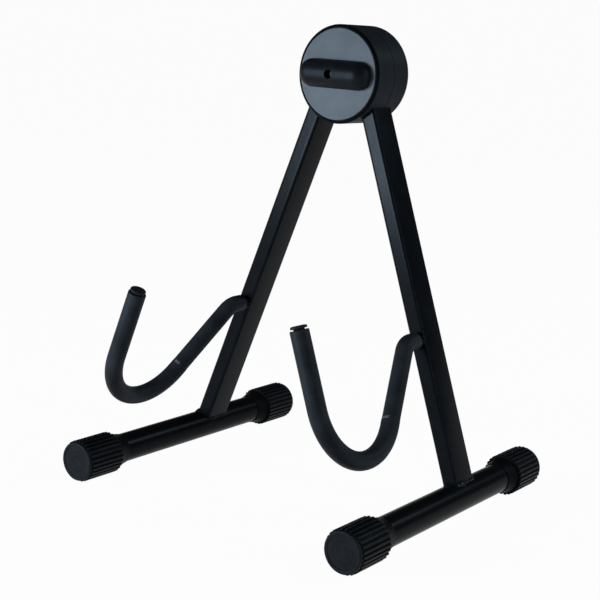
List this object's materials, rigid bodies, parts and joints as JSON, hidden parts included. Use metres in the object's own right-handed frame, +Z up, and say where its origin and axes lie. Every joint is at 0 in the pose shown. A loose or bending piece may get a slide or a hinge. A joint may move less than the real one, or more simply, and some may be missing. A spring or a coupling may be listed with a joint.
{
  "type": "folding instrument stand",
  "caption": "Folding A-frame floor stand for a stringed instrument: hinged legs with padded hooks, ribbed rubber feet and a round clamp head with a locking knob.",
  "frame": {"origin": "on the floor, at the middle of the open stand's base", "axes": "+Z up, +Y from the padded hooks back to the legs, +X from the left leg to the right leg as seen from the front"},
  "size_m": [0.2866, 0.261, 0.3623],
  "materials": {
    "leg_paint": "satin black powder coat",
    "base_paint": "gloss black enamel",
    "cap_rubber": "matte black moulded rubber",
    "sleeve_rubber": "matte black rubber tube",
    "plug_plastic": "moulded black plastic",
    "knob_plastic": "satin moulded charcoal plastic",
    "housing_plastic": "fine moulded black plastic",
    "zinc_steel": "bright zinc plate",
    "black_steel": "black oxide screws",
    "washer_nylon": "natural nylon"
  },
  "bodies": {
    "right_frame": {"right_leg_tube": "leg_paint", "right_leg_weld": "leg_paint", "right_cradle_weld": "leg_paint", "right_cradle_rod": "leg_paint", "right_base_tube": "base_paint", "right_front_foot_cap": "cap_rubber", "right_rear_foot_cap": "cap_rubber", "right_cradle_sleeve": "sleeve_rubber", "right_cradle_end_plug": "plug_plastic", "front_housing": "housing_plastic", "rear_housing": "housing_plastic", "clamp_nut": "zinc_steel", "nut_washer": "zinc_steel", "spacer_bush": "zinc_steel", "right_front_hinge_barrel": "zinc_steel", "right_rear_hinge_barrel": "zinc_steel", "housing_screws": "black_steel", "front_friction_washer": "washer_nylon", "rear_friction_washer": "washer_nylon"},
    "left_frame": {"left_leg_tube": "leg_paint", "left_leg_weld": "leg_paint", "left_cradle_weld": "leg_paint", "left_cradle_rod": "leg_paint", "left_base_tube": "base_paint", "left_front_foot_cap": "cap_rubber", "left_rear_foot_cap": "cap_rubber", "left_cradle_sleeve": "sleeve_rubber", "left_cradle_end_plug": "plug_plastic", "left_hinge_barrel": "zinc_steel"},
    "clamp_washer": {"thrust_washer": "zinc_steel"},
    "knob": {"lock_knob": "knob_plastic", "pivot_spindle": "zinc_steel", "knob_screw": "black_steel", "retaining_clip": "zinc_steel"}
  },
  "joints": [
    {"name": "fold", "type": "hinge", "parent": "right_frame", "child": "left_frame", "pos_m": [0, 0.0282, 0.3248], "axis": [0, -1, 0], "range_deg": [0, 38.91]},
    {"name": "clamp_travel", "type": "slide", "parent": "right_frame", "child": "clamp_washer", "axis": [0, -1, 0], "range_m": [0, 0.00125]},
    {"name": "knob_turn", "type": "hinge", "parent": "clamp_washer", "child": "knob", "pos_m": [0, 0.0282, 0.3248], "axis": [0, -1, 0], "range_deg": [0, 360]}
  ],
  "couplings": [
    {"joint": "clamp_travel", "follows": "knob_turn", "m_per_rad": 0.00019894}
  ]
}
